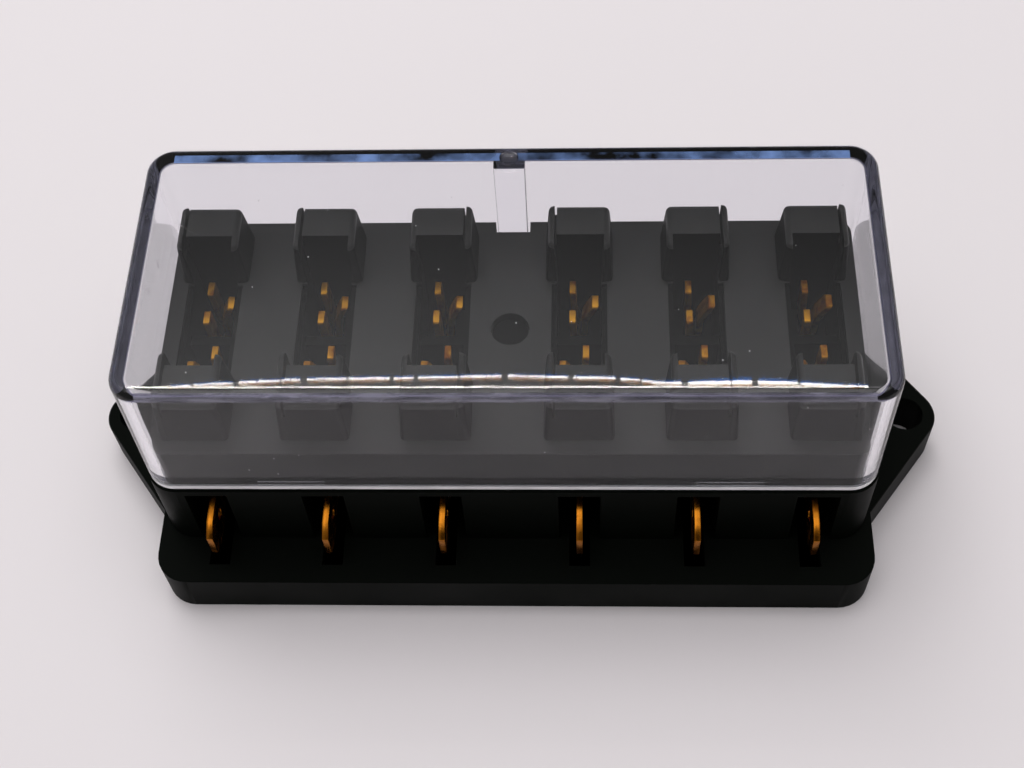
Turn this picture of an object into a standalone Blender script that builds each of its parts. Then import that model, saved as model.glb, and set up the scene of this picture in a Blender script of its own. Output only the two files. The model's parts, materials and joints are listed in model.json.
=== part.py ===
"""Six-way blade fuse box: a hollow moulded base, a clear lift-off cover and twelve stamped brass terminals.

The box stands on its flange, long side along X, with its wiring sides at -Y and +Y. The origin is on the
floor at the middle of the base. Each way has one fuse well and two equal terminals, which share a well
back to back: a quarter-inch tab points out of each wiring side, and three sprung fingers grip a fuse blade.
"""
import math

import bmesh
import bpy
from mathutils import Matrix, Vector

MM = 0.001

# Ways along the box
WAYS_EACH_HALF = 3
WAY_PITCH = 15.07 * MM
MIDDLE_PITCH = 17.7 * MM

# Gaps between pieces that touch
SEAT_GAP = 0.3 * MM
SLIDE_GAP = 0.3 * MM
SHEET_GAP = 0.3 * MM

# The blade fuse that the wells are made for
FUSE_LENGTH = 19.1 * MM
FUSE_THICKNESS = 5.1 * MM
BLADE_SPACING = 10.1 * MM
BLADE_THICKNESS = 0.65 * MM

# Base
WALL = 2.0 * MM
FLANGE_HEIGHT = 7.25 * MM
FLANGE_REACH_X = 0.75 * MM
FLANGE_REACH_Y = 6.6 * MM
FLANGE_CORNER = 4.3 * MM
LEDGE_HEIGHT = 20.1 * MM
LEDGE_LIP = 0.25 * MM
PLATE_HEIGHT = 27.9 * MM
PLATE_THICKNESS = 2.2 * MM
PLUG_END_MARGIN = 1.26 * MM
PLUG_SIDE_MARGIN = 1.8 * MM
PLUG_CORNER = 2.0 * MM
EDGE_ROUND = 0.4 * MM

# Mounting ears
EAR_REACH = 6.1 * MM
EAR_TIP_RADIUS = 4.2 * MM
EAR_HOLE = 5.0 * MM
EAR_ROOT_HALF = 15.3 * MM

# Fuse wells and the towers that guide the ends of a fuse
FUSE_SIDE_GAP = 0.35 * MM
FUSE_END_GAP = 0.3 * MM
WELL_FLOOR = 17.9 * MM
WELL_FLOOR_THICKNESS = 1.7 * MM
WELL_WALL = 1.6 * MM
CROSSBAR_THICKNESS = 1.4 * MM
CROSSBAR_TOP = 25.3 * MM
REBATE_WIDTH = 0.7 * MM
REBATE_DEPTH = 0.6 * MM
TOWER_HEIGHT = 6.9 * MM
TOWER_FOOT_WIDTH = 8.9 * MM
TOWER_TOP_WIDTH = 7.8 * MM
TOWER_FOOT_DEPTH = 5.6 * MM
TOWER_TOP_DEPTH = 4.7 * MM
TOWER_ROUND = 0.7 * MM
CHEEK_LENGTH = 2.55 * MM
CHEEK_LEAN = 0.65 * MM
CHEEK_FLARE = 0.3 * MM
FIN_RISE = 0.3 * MM
FIN_SLIT = 0.3 * MM
FIN_SLIT_DEPTH = 2.2 * MM
FIN_SIDE = (-1, -1, 1, -1, 1, 1)

# Wiring windows and the slots that the terminals go in through
WINDOW_WIDTH = 5.4 * MM
WINDOW_TOP = 19.1 * MM
TUNNEL_WALL = 1.5 * MM
SLOT_WIDTH = 2.75 * MM
SLOT_TIP_GAP = 0.3 * MM
WEB_WALL = 1.7 * MM
SPINE_THICKNESS = 1.5 * MM
SPINE_BOTTOM = 12.0 * MM

# Round recess in the middle of the plate
RECESS_DIAMETER = 4.9 * MM
RECESS_DEPTH = 1.4 * MM

# Cover
COVER_HEADROOM = 5.8 * MM
COVER_WALL = 1.5 * MM
COVER_CORNER = 3.8 * MM
COVER_EDGE_ROUND = 1.1 * MM
COVER_INNER_ROUND = 0.5 * MM
COVER_DRAFT = 0.25 * MM
KEY_WIDTH = 4.0 * MM
KEY_DEPTH = 1.7 * MM
KEY_DIMPLE_DIAMETER = 2.4 * MM
KEY_DIMPLE_DEPTH = 0.5 * MM
SNAP_BEAD_START = 23.4 * MM
SNAP_BEAD_LENGTH = 8.6 * MM
SNAP_BEAD_HEIGHT = 0.9 * MM
SNAP_BEAD_PROUD = 0.15 * MM

# Terminals
SHEET = 0.8 * MM
TAB_WIDTH = 6.3 * MM
TAB_BOTTOM = 9.0 * MM
TAB_TIP = 23.0 * MM
TAB_TAPER_LENGTH = 1.9 * MM
TAB_TAPER_HEIGHT = 1.2 * MM
TAB_HOLE = 1.65 * MM
TAB_HOLE_FROM_TIP = 4.1 * MM
HEAD_WIDTH = 6.8 * MM
HEAD_TOP = 26.8 * MM
FINGER_ROOT = 18.6 * MM
FINGER_SLIT = 0.4 * MM
GRIP_BOTTOM = 21.5 * MM
GRIP_TOP = 23.2 * MM
OUTER_FLARE = 0.87 * MM
MIDDLE_FLARE = 2.1 * MM
SHEET_EDGE = 0.12 * MM

# How finely round shapes are cut
CORNER_STEPS = 8
HOLE_STEPS = 28
OVERLAP = 0.4 * MM

# Places worked out from the sizes above
WAY_CENTRES = [sign * (MIDDLE_PITCH / 2 + step * WAY_PITCH)
               for sign in (-1, 1) for step in range(WAYS_EACH_HALF)]
WAY_CENTRES.sort()
WELL_HALF_X = FUSE_THICKNESS / 2 + FUSE_SIDE_GAP
WELL_HALF_Y = FUSE_LENGTH / 2 + FUSE_END_GAP
PLUG_HALF_LENGTH = WAY_CENTRES[-1] + TOWER_FOOT_WIDTH / 2 + PLUG_END_MARGIN
PLUG_HALF_DEPTH = WELL_HALF_Y + TOWER_FOOT_DEPTH + PLUG_SIDE_MARGIN
COVER_RIM_HALF_X = PLUG_HALF_LENGTH + SLIDE_GAP + COVER_WALL
COVER_RIM_HALF_Y = PLUG_HALF_DEPTH + SLIDE_GAP + COVER_WALL
BODY_HALF_X = COVER_RIM_HALF_X + LEDGE_LIP
BODY_HALF_Y = COVER_RIM_HALF_Y + LEDGE_LIP
BODY_CORNER = COVER_CORNER + LEDGE_LIP
FLANGE_HALF_X = BODY_HALF_X + FLANGE_REACH_X
FLANGE_HALF_Y = BODY_HALF_Y + FLANGE_REACH_Y
EAR_CENTRE = FLANGE_HALF_X + EAR_REACH
COVER_RIM = LEDGE_HEIGHT + SEAT_GAP
PLATE_UNDERSIDE = PLATE_HEIGHT - PLATE_THICKNESS
TOWER_TOP = PLATE_HEIGHT + TOWER_HEIGHT
COVER_TOP = TOWER_TOP + FIN_RISE + COVER_HEADROOM + COVER_WALL
TAB_TOP = TAB_BOTTOM + TAB_WIDTH
HEAD_INNER = BLADE_SPACING / 2 - HEAD_WIDTH / 2
HEAD_OUTER = BLADE_SPACING / 2 + HEAD_WIDTH / 2
SLIT_HALF = SHEET / 2 + SHEET_GAP
TUNNEL_INNER = WELL_HALF_Y + WELL_WALL


def new_collection(name):
    collection = bpy.data.collections.new(name)
    bpy.context.scene.collection.children.link(collection)
    return collection


def add_object(name, mesh, collection):
    made = bpy.data.objects.new(name, mesh)
    collection.objects.link(made)
    return made


def hide_tool(made):
    """Marks a body that only shapes another one."""
    made.hide_render = True
    made.display_type = "WIRE"
    return made


def plain_material(name, colour, roughness, metallic=0.0, alpha=1.0):
    material = bpy.data.materials.new(name)
    material.use_nodes = True
    shader = material.node_tree.nodes["Principled BSDF"]
    shader.inputs["Base Color"].default_value = (*colour, 1.0)
    shader.inputs["Roughness"].default_value = roughness
    shader.inputs["Metallic"].default_value = metallic
    shader.inputs["Alpha"].default_value = alpha
    return material


def arc(centre_x, centre_y, radius, start, stop, steps):
    """Points on an arc, angles in degrees."""
    points = []
    for step in range(steps + 1):
        angle = math.radians(start + (stop - start) * step / steps)
        points.append((centre_x + radius * math.cos(angle), centre_y + radius * math.sin(angle)))
    return points


def rounded_rectangle(half_x, half_y, radius):
    points = []
    for sign_x, sign_y, start in ((1, 1, 0), (-1, 1, 90), (-1, -1, 180), (1, -1, 270)):
        points += arc(sign_x * (half_x - radius), sign_y * (half_y - radius), radius,
                      start, start + 90, CORNER_STEPS)
    return points


def flat_piece(outlines, thickness):
    """A closed mesh cut from a flat sheet, its middle plane on local z = 0; later outlines are holes."""
    curve = bpy.data.curves.new("outline", "CURVE")
    curve.dimensions = "2D"
    curve.fill_mode = "BOTH"
    curve.extrude = thickness / 2
    for outline in outlines:
        spline = curve.splines.new("POLY")
        spline.points.add(len(outline) - 1)
        for point, place in zip(spline.points, outline):
            point.co = (place[0], place[1], 0.0, 1.0)
        spline.use_cyclic_u = True
    holder = bpy.data.objects.new("outline", curve)
    bpy.context.scene.collection.objects.link(holder)
    bpy.context.view_layer.update()
    mesh = bpy.data.meshes.new_from_object(holder.evaluated_get(bpy.context.evaluated_depsgraph_get()))
    bpy.data.objects.remove(holder)
    bpy.data.curves.remove(curve)
    shape = bmesh.new()
    shape.from_mesh(mesh)
    bmesh.ops.remove_doubles(shape, verts=shape.verts, dist=0.00001)
    bmesh.ops.recalc_face_normals(shape, faces=shape.faces)
    shape.to_mesh(mesh)
    shape.free()
    return mesh


def slab(name, outline, bottom, top, collection):
    """An upright body with a flat outline, between two heights."""
    mesh = flat_piece([outline], top - bottom)
    mesh.transform(Matrix.Translation((0, 0, (bottom + top) / 2)))
    return add_object(name, mesh, collection)


def boxes(name, corners, collection):
    """One mesh of separate boxes, each given by its lowest and highest corner."""
    shape = bmesh.new()
    for low, high in corners:
        low, high = Vector(low), Vector(high)
        size = Matrix.Diagonal((*(high - low), 1.0))
        bmesh.ops.create_cube(shape, size=1.0, matrix=Matrix.Translation((low + high) / 2) @ size)
    mesh = bpy.data.meshes.new(name)
    shape.to_mesh(mesh)
    shape.free()
    return add_object(name, mesh, collection)


def tapered_boxes(name, pieces, collection):
    """Separate boxes whose top face differs from the bottom one; a face is (x0, x1, y0, y1, z)."""
    shape = bmesh.new()
    for foot, head in pieces:
        made = bmesh.ops.create_cube(shape, size=2.0)["verts"]
        for vert in made:
            x0, x1, y0, y1, z = head if vert.co.z > 0 else foot
            vert.co = (x1 if vert.co.x > 0 else x0, y1 if vert.co.y > 0 else y0, z)
    bmesh.ops.recalc_face_normals(shape, faces=shape.faces)
    mesh = bpy.data.meshes.new(name)
    shape.to_mesh(mesh)
    shape.free()
    return add_object(name, mesh, collection)


def cylinders(name, places, radius, bottom, top, collection):
    """Separate upright round bodies at (x, y) places."""
    shape = bmesh.new()
    for x, y in places:
        bmesh.ops.create_cone(shape, cap_ends=True, segments=HOLE_STEPS, radius1=radius, radius2=radius,
                              depth=top - bottom, matrix=Matrix.Translation((x, y, (bottom + top) / 2)))
    mesh = bpy.data.meshes.new(name)
    shape.to_mesh(mesh)
    shape.free()
    return add_object(name, mesh, collection)


def round_edges(made, width, segments=2, sharper_than=40):
    bevel = made.modifiers.new("rounded edges", "BEVEL")
    bevel.width = width
    bevel.segments = segments
    bevel.limit_method = "ANGLE"
    bevel.angle_limit = math.radians(sharper_than)
    return made


def combine(target, tool, operation):
    hide_tool(tool)
    step = target.modifiers.new(tool.name, "BOOLEAN")
    step.operation = operation
    step.solver = "EXACT"
    step.object = tool


def settle(made):
    """Keeps the shape that the modifiers give and drops the modifiers."""
    bpy.context.view_layer.update()
    mesh = bpy.data.meshes.new_from_object(made.evaluated_get(bpy.context.evaluated_depsgraph_get()))
    made.modifiers.clear()
    made.data = mesh
    return made


def smooth(made, angle=32):
    made.data.shade_smooth()
    made.data.set_sharp_from_angle(angle=math.radians(angle))


def both_ends(low_y, high_y):
    """The same stretch of Y on the +Y side and on the -Y side."""
    return ((low_y, high_y), (-high_y, -low_y))


def ear_outline(side):
    """A triangle with a round tip, tangent to the tip circle, rooted inside the body."""
    root_x = FLANGE_HALF_X
    to_tip = math.hypot(EAR_CENTRE - root_x, EAR_ROOT_HALF)
    tangent = math.degrees(math.acos(EAR_TIP_RADIUS / to_tip) - math.atan2(EAR_CENTRE - root_x, EAR_ROOT_HALF))
    lean = 90 - tangent
    inside = root_x - 2 * WALL
    points = [(inside, -EAR_ROOT_HALF), (root_x, -EAR_ROOT_HALF)]
    points += arc(EAR_CENTRE, 0.0, EAR_TIP_RADIUS, -lean, lean, 2 * CORNER_STEPS)
    points += [(root_x, EAR_ROOT_HALF), (inside, EAR_ROOT_HALF)]
    return [(side * x, y) for x, y in points]


def make_base(parts, tools):
    """The whole black moulding: flange, ears, body, plug, wells and towers in one piece."""
    base = slab("base_housing", rounded_rectangle(FLANGE_HALF_X, FLANGE_HALF_Y, FLANGE_CORNER),
                0.0, FLANGE_HEIGHT, parts)
    settle(round_edges(base, EDGE_ROUND))
    for side, end in ((-1, "left"), (1, "right")):
        ear = slab("ear_" + end, ear_outline(side), 0.0, FLANGE_HEIGHT, tools)
        combine(base, round_edges(ear, EDGE_ROUND), "UNION")
    body = slab("body", rounded_rectangle(BODY_HALF_X, BODY_HALF_Y, BODY_CORNER),
                FLANGE_HEIGHT - OVERLAP, LEDGE_HEIGHT, tools)
    combine(base, body, "UNION")
    plug = slab("plug", rounded_rectangle(PLUG_HALF_LENGTH, PLUG_HALF_DEPTH, PLUG_CORNER),
                LEDGE_HEIGHT - OVERLAP, PLATE_HEIGHT, tools)
    combine(base, round_edges(plug, EDGE_ROUND), "UNION")
    hollow_base(base, tools)
    fit_wells(base, tools)
    add_towers(base, tools)
    cut_openings(base, tools)
    return settle(base)


def hollow_base(base, tools):
    """Opens the moulding from below and leaves even walls."""
    levels = (
        ("flange_hollow", FLANGE_HALF_X, FLANGE_HALF_Y, FLANGE_CORNER, -OVERLAP, FLANGE_HEIGHT - WALL),
        ("body_hollow", BODY_HALF_X, BODY_HALF_Y, BODY_CORNER, -OVERLAP, LEDGE_HEIGHT - WALL),
        ("plug_hollow", PLUG_HALF_LENGTH, PLUG_HALF_DEPTH, PLUG_CORNER + OVERLAP, -OVERLAP, PLATE_UNDERSIDE),
    )
    for name, half_x, half_y, corner, bottom, top in levels:
        outline = rounded_rectangle(half_x - WALL, half_y - WALL, corner - WALL + OVERLAP)
        combine(base, slab(name, outline, bottom, top, tools), "DIFFERENCE")
    for side, end in ((-1, "left"), (1, "right")):
        reach = EAR_CENTRE - EAR_TIP_RADIUS - WALL / 2
        root = EAR_ROOT_HALF - WALL
        slope = (EAR_ROOT_HALF - EAR_TIP_RADIUS) / EAR_REACH
        outer = root - slope * (reach - FLANGE_HALF_X) - WALL
        outline = [(side * (FLANGE_HALF_X - 2 * WALL), -root), (side * (FLANGE_HALF_X - WALL), -root),
                   (side * reach, -outer), (side * reach, outer),
                   (side * (FLANGE_HALF_X - WALL), root), (side * (FLANGE_HALF_X - 2 * WALL), root)]
        if outer > 0 and reach > FLANGE_HALF_X - WALL:
            hollow = slab("ear_hollow_" + end, outline, -OVERLAP, FLANGE_HEIGHT - WALL, tools)
            combine(base, hollow, "DIFFERENCE")


def fit_wells(base, tools):
    """Box round each well, webs that hold the terminals, tunnels to the windows and one long spine."""
    half_box = WELL_HALF_X + WELL_WALL
    half_web = SLIT_HALF + WEB_WALL
    half_tunnel = WINDOW_WIDTH / 2 + TUNNEL_WALL
    floor = FLANGE_HEIGHT - WALL
    wells, webs, tunnels = [], [], []
    for x in WAY_CENTRES:
        wells.append(((x - half_box, -TUNNEL_INNER, WELL_FLOOR - WELL_FLOOR_THICKNESS),
                      (x + half_box, TUNNEL_INNER, PLATE_UNDERSIDE + OVERLAP)))
        webs.append(((x - half_web, -TUNNEL_INNER - WEB_WALL, floor + OVERLAP / 2),
                     (x + half_web, TUNNEL_INNER + WEB_WALL, WELL_FLOOR - OVERLAP)))
        for low, high in both_ends(TUNNEL_INNER - OVERLAP, BODY_HALF_Y - WALL + OVERLAP):
            tunnels.append(((x - half_tunnel, low, floor), (x + half_tunnel, high, LEDGE_HEIGHT - OVERLAP)))
    half_key = KEY_WIDTH / 2 + SLIDE_GAP + WALL
    key_back = COVER_RIM_HALF_Y - COVER_WALL - KEY_DEPTH - SLIDE_GAP - WALL
    backing = [((-half_key, key_back, LEDGE_HEIGHT - WALL - OVERLAP),
                (half_key, PLUG_HALF_DEPTH - WALL / 2, PLATE_UNDERSIDE + OVERLAP / 2))]
    spine = [((-PLUG_HALF_LENGTH + WALL / 2, -SPINE_THICKNESS / 2, SPINE_BOTTOM),
              (PLUG_HALF_LENGTH - WALL / 2, SPINE_THICKNESS / 2, PLATE_UNDERSIDE + OVERLAP / 2))]
    inside = (("spine", spine), ("key_backing", backing), ("well_boxes", wells), ("webs", webs), ("tunnels", tunnels))
    for name, corners in inside:
        combine(base, boxes(name, corners, tools), "UNION")


def add_towers(base, tools):
    """A leaning tower at each end of each well: a rounded block, and a slightly taller fin beside a thin slit."""
    block_in = WELL_HALF_X - FIN_SLIT / 6
    fin_in = block_in + FIN_SLIT
    half_foot, half_head = TOWER_FOOT_WIDTH / 2, TOWER_TOP_WIDTH / 2
    foot_ends = (WELL_HALF_Y - CHEEK_LENGTH, WELL_HALF_Y + TOWER_FOOT_DEPTH)
    head_ends = (WELL_HALF_Y - CHEEK_LENGTH + CHEEK_LEAN, WELL_HALF_Y + TOWER_TOP_DEPTH)
    share = 1 - FIN_SLIT_DEPTH / TOWER_HEIGHT
    inset = FIN_SLIT / 3
    fill_foot = (foot_ends[0] + inset, foot_ends[1] - inset)
    fill_head = [foot + (head - foot) * share for foot, head in zip(foot_ends, head_ends)]
    fill_head = (fill_head[0] + inset, fill_head[1] - inset)
    low = PLATE_HEIGHT - TOWER_ROUND - OVERLAP
    beyond = (half_foot + OVERLAP, foot_ends[1] + OVERLAP, TOWER_TOP + FIN_RISE + OVERLAP)
    blocks, fins, fills, block_trims, fin_trims = [], [], [], [], []
    for x, fin in zip(WAY_CENTRES, FIN_SIDE):
        foot_x = (x - half_foot, x + half_foot)
        head_x = (x - half_head, x + half_head)
        block_cut = sorted((x + fin * block_in, x + fin * beyond[0]))
        fin_cut = sorted((x + fin * fin_in, x - fin * beyond[0]))
        fill_x = sorted((x + fin * (block_in - OVERLAP), x + fin * (fin_in + OVERLAP)))
        block_trims.append(((block_cut[0], -beyond[1], low - OVERLAP), (block_cut[1], beyond[1], beyond[2])))
        fin_trims.append(((fin_cut[0], -beyond[1], low - OVERLAP), (fin_cut[1], beyond[1], beyond[2])))
        for sign in (-1, 1):
            foot_y = sorted(sign * end for end in foot_ends)
            head_y = sorted(sign * end for end in head_ends)
            blocks.append(((*foot_x, *foot_y, low), (*head_x, *head_y, TOWER_TOP)))
            fins.append(((*foot_x, *foot_y, low), (*head_x, *head_y, TOWER_TOP + FIN_RISE)))
            foot_y = sorted(sign * end for end in fill_foot)
            head_y = sorted(sign * end for end in fill_head)
            fills.append(((*fill_x, *foot_y, low + OVERLAP / 4), (*fill_x, *head_y, TOWER_TOP - FIN_SLIT_DEPTH)))
    for name, pieces, trims in (("tower_blocks", blocks, block_trims), ("tower_fins", fins, fin_trims)):
        made = round_edges(tapered_boxes(name, pieces, tools), TOWER_ROUND, segments=3)
        combine(made, boxes(name + "_trim", trims, tools), "DIFFERENCE")
        combine(base, settle(made), "UNION")
    combine(base, tapered_boxes("tower_feet", fills, tools), "UNION")


def cut_openings(base, tools):
    """Wells, lead-ins, slits, windows, terminal slots, ear holes, the round recess and the key notch."""
    clear = TOWER_TOP + FIN_RISE + OVERLAP
    half_bar = CROSSBAR_THICKNESS / 2
    cheek_tip = WELL_HALF_Y - CHEEK_LENGTH
    rebate_end = cheek_tip - REBATE_DEPTH / 2
    mouths, pockets, rebates, gaps = [], [], [], []
    windows, slots, guides, heads = [], [], [], []
    for x, fin in zip(WAY_CENTRES, FIN_SIDE):
        left, right = x - WELL_HALF_X, x + WELL_HALF_X
        mouths.append(((left, -WELL_HALF_Y, CROSSBAR_TOP), (right, WELL_HALF_Y, PLATE_HEIGHT + OVERLAP)))
        edge = FIN_SLIT / 6
        low_gap = (left - edge, right + edge, -WELL_HALF_Y, WELL_HALF_Y, PLATE_HEIGHT + edge)
        high_gap = (left - CHEEK_FLARE, right + CHEEK_FLARE, -WELL_HALF_Y, WELL_HALF_Y, clear)
        gaps.append((low_gap, high_gap))
        rebates.append(((left - REBATE_WIDTH, -rebate_end, PLATE_HEIGHT - REBATE_DEPTH),
                        (right + REBATE_WIDTH, rebate_end, PLATE_HEIGHT + OVERLAP)))
        for low, high in both_ends(half_bar, WELL_HALF_Y):
            pockets.append(((left, low, WELL_FLOOR), (right, high, CROSSBAR_TOP + OVERLAP)))
        for low, high in both_ends(TUNNEL_INNER + WEB_WALL, BODY_HALF_Y + OVERLAP):
            windows.append(((x - WINDOW_WIDTH / 2, low, FLANGE_HEIGHT),
                            (x + WINDOW_WIDTH / 2, high, WINDOW_TOP)))
        for low, high in both_ends(HEAD_INNER - SHEET_GAP, TAB_TIP + SLOT_TIP_GAP):
            slots.append(((x - SLOT_WIDTH / 2, low, 0.0), (x + SLOT_WIDTH / 2, high, FLANGE_HEIGHT + OVERLAP)))
        for low, high in both_ends(HEAD_INNER - SHEET_GAP, TUNNEL_INNER + WEB_WALL + OVERLAP):
            guides.append(((x - SLIT_HALF, low, FLANGE_HEIGHT), (x + SLIT_HALF, high, TAB_TOP + SHEET_GAP)))
        for low, high in both_ends(HEAD_INNER - SHEET_GAP, HEAD_OUTER + SHEET_GAP):
            heads.append(((x - SLIT_HALF, low, TAB_BOTTOM), (x + SLIT_HALF, high, WELL_FLOOR + OVERLAP)))
    straight = (("well_mouths", mouths), ("well_pockets", pockets), ("rebates", rebates),
                ("windows", windows), ("terminal_slots", slots), ("tab_guides", guides), ("head_slits", heads))
    for name, corners in straight:
        combine(base, boxes(name, corners, tools), "DIFFERENCE")
    combine(base, tapered_boxes("cheek_gaps", gaps, tools), "DIFFERENCE")
    ears = [(-EAR_CENTRE, 0.0), (EAR_CENTRE, 0.0)]
    combine(base, cylinders("ear_holes", ears, EAR_HOLE / 2, -OVERLAP, FLANGE_HEIGHT + OVERLAP, tools), "DIFFERENCE")
    recess = cylinders("plate_recess", [(0.0, 0.0)], RECESS_DIAMETER / 2,
                       PLATE_HEIGHT - RECESS_DEPTH, PLATE_HEIGHT + OVERLAP, tools)
    combine(base, recess, "DIFFERENCE")
    notch = ((-KEY_WIDTH / 2 - SLIDE_GAP, COVER_RIM_HALF_Y - COVER_WALL - KEY_DEPTH - SLIDE_GAP, LEDGE_HEIGHT),
             (KEY_WIDTH / 2 + SLIDE_GAP, PLUG_HALF_DEPTH + OVERLAP, PLATE_HEIGHT + OVERLAP))
    combine(base, boxes("key_notch", [notch], tools), "DIFFERENCE")


def draw_in(made, bottom, top, draft):
    """Leans the upright walls of a slab inwards, as a moulded cover comes off its core."""
    for vert in made.data.vertices:
        share = (vert.co.z - bottom) / (top - bottom)
        vert.co.x -= math.copysign(draft * share, vert.co.x)
        vert.co.y -= math.copysign(draft * share, vert.co.y)


def make_cover(parts, tools):
    """Clear cover: a thin drawn shell with a key rib in the middle of its back wall."""
    cover = slab("clear_cover", rounded_rectangle(COVER_RIM_HALF_X, COVER_RIM_HALF_Y, COVER_CORNER),
                 COVER_RIM, COVER_TOP, parts)
    draw_in(cover, COVER_RIM, COVER_TOP, COVER_DRAFT)
    round_top(cover, COVER_TOP, COVER_EDGE_ROUND, 4)
    settle(cover)
    inside = slab("cover_inside", rounded_rectangle(COVER_RIM_HALF_X - COVER_WALL, COVER_RIM_HALF_Y - COVER_WALL,
                                                    COVER_CORNER - COVER_WALL),
                  COVER_RIM, COVER_TOP - COVER_WALL, tools)
    draw_in(inside, COVER_RIM, COVER_TOP - COVER_WALL, COVER_DRAFT)
    round_top(inside, COVER_TOP - COVER_WALL, COVER_INNER_ROUND, 2)
    settle(inside)
    for vert in inside.data.vertices:
        if vert.co.z < COVER_RIM + COVER_WALL / 4:
            vert.co.z -= OVERLAP
    combine(cover, inside, "DIFFERENCE")
    inner_y = COVER_RIM_HALF_Y - COVER_WALL
    key = tapered_boxes("key_rib", [(
        (-KEY_WIDTH / 2, KEY_WIDTH / 2, inner_y - KEY_DEPTH, inner_y + OVERLAP, COVER_RIM),
        (-KEY_WIDTH / 2, KEY_WIDTH / 2, inner_y - KEY_DEPTH - COVER_DRAFT, inner_y + OVERLAP,
         COVER_TOP - COVER_WALL / 2))], tools)
    combine(cover, key, "UNION")
    dimple = cylinders("key_dimple", [(0.0, inner_y - KEY_DEPTH / 2)], KEY_DIMPLE_DIAMETER / 2,
                       COVER_TOP - KEY_DIMPLE_DEPTH, COVER_TOP + OVERLAP, tools)
    combine(cover, dimple, "DIFFERENCE")
    combine(cover, snap_beads(tools), "UNION")
    return settle(cover)


def round_top(made, height, radius, segments):
    """Rounds only the edges that run round the top face."""
    mesh = made.data
    shape = bmesh.new()
    shape.from_mesh(mesh)
    weight = shape.edges.layers.float.get("bevel_weight_edge") or shape.edges.layers.float.new("bevel_weight_edge")
    for edge in shape.edges:
        level = all(abs(vert.co.z - height) < 0.00001 for vert in edge.verts)
        border = len(edge.link_faces) == 2 and edge.calc_face_angle() > math.radians(60)
        edge[weight] = 1.0 if level and border else 0.0
    shape.to_mesh(mesh)
    shape.free()
    bevel = made.modifiers.new("rounded top", "BEVEL")
    bevel.width = radius
    bevel.segments = segments
    bevel.limit_method = "WEIGHT"


def snap_beads(tools):
    """Low beads inside the long walls, just above the rim, that hold the cover on the plug."""
    inner_y = COVER_RIM_HALF_Y - COVER_WALL
    middle = COVER_RIM + 0.6 * SNAP_BEAD_HEIGHT
    pieces = []
    for side in (-1, 1):
        ends = sorted((side * SNAP_BEAD_START, side * (SNAP_BEAD_START + SNAP_BEAD_LENGTH)))
        for low, high in both_ends(inner_y - SNAP_BEAD_PROUD, inner_y + OVERLAP):
            pieces.append(((ends[0], low, middle - SNAP_BEAD_HEIGHT / 2),
                           (ends[1], high, middle + SNAP_BEAD_HEIGHT / 2)))
    return boxes("snap_beads", pieces, tools)


def terminal_blank():
    """Outline of the stamped blank in (y, z), tab towards -y, and the hole in its tab."""
    finger = (HEAD_WIDTH - 2 * FINGER_SLIT) / 3
    tip_corner = SHEET_EDGE
    taper = -TAB_TIP + TAB_TAPER_LENGTH
    outline = [(-HEAD_INNER, TAB_BOTTOM), (taper, TAB_BOTTOM), (-TAB_TIP, TAB_BOTTOM + TAB_TAPER_HEIGHT),
               (-TAB_TIP, TAB_TOP - TAB_TAPER_HEIGHT), (taper, TAB_TOP), (-HEAD_OUTER, TAB_TOP)]
    for number in range(3):
        start = -HEAD_OUTER + number * (finger + FINGER_SLIT)
        stop = start + finger
        if number:
            outline.append((start, FINGER_ROOT))
        outline += [(start, HEAD_TOP - tip_corner), (start + tip_corner, HEAD_TOP),
                    (stop - tip_corner, HEAD_TOP), (stop, HEAD_TOP - tip_corner)]
        if number < 2:
            outline.append((stop, FINGER_ROOT))
    hole = arc(-TAB_TIP + TAB_HOLE_FROM_TIP, (TAB_BOTTOM + TAB_TOP) / 2, TAB_HOLE / 2, 0, 345, 11)
    return outline[::-1], hole


def finger_offset(height, flare):
    """How far a finger stands off the sheet's plane at a height."""
    grip = BLADE_THICKNESS / 2 + SHEET / 2
    if height <= FINGER_ROOT:
        return 0.0
    if height < GRIP_BOTTOM:
        share = (height - FINGER_ROOT) / (GRIP_BOTTOM - FINGER_ROOT)
        return grip * share * share * (3 - 2 * share)
    if height <= GRIP_TOP:
        return grip
    share = (height - GRIP_TOP) / (HEAD_TOP - GRIP_TOP)
    return grip + (flare - grip) * share ** 1.4


def terminal_mesh():
    """Cuts the blank, scores it across at the bends and forms its three fingers left and right in turn."""
    outline, hole = terminal_blank()
    mesh = flat_piece([outline, hole], SHEET)
    stand_up = Matrix(((0, 0, 1, 0), (1, 0, 0, 0), (0, 1, 0, 0), (0, 0, 0, 1)))
    mesh.transform(stand_up)
    shape = bmesh.new()
    shape.from_mesh(mesh)
    bends = 4
    levels = [FINGER_ROOT]
    levels += [FINGER_ROOT + (GRIP_BOTTOM - FINGER_ROOT) * step / bends for step in range(1, bends + 1)]
    levels += [GRIP_TOP + (HEAD_TOP - GRIP_TOP) * step / bends for step in range(bends)]
    for level in levels:
        everything = shape.verts[:] + shape.edges[:] + shape.faces[:]
        bmesh.ops.bisect_plane(shape, geom=everything, dist=0.000001, plane_co=(0, 0, level), plane_no=(0, 0, 1))
    finger = (HEAD_WIDTH - 2 * FINGER_SLIT) / 3 + FINGER_SLIT
    for vert in shape.verts:
        number = min(2, int((vert.co.y + HEAD_OUTER + FINGER_SLIT / 2) / finger))
        middle = number == 1
        side = -1 if middle else 1
        vert.co.x += side * finger_offset(vert.co.z, MIDDLE_FLARE if middle else OUTER_FLARE)
    bmesh.ops.recalc_face_normals(shape, faces=shape.faces)
    shape.to_mesh(mesh)
    shape.free()
    return mesh


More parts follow.
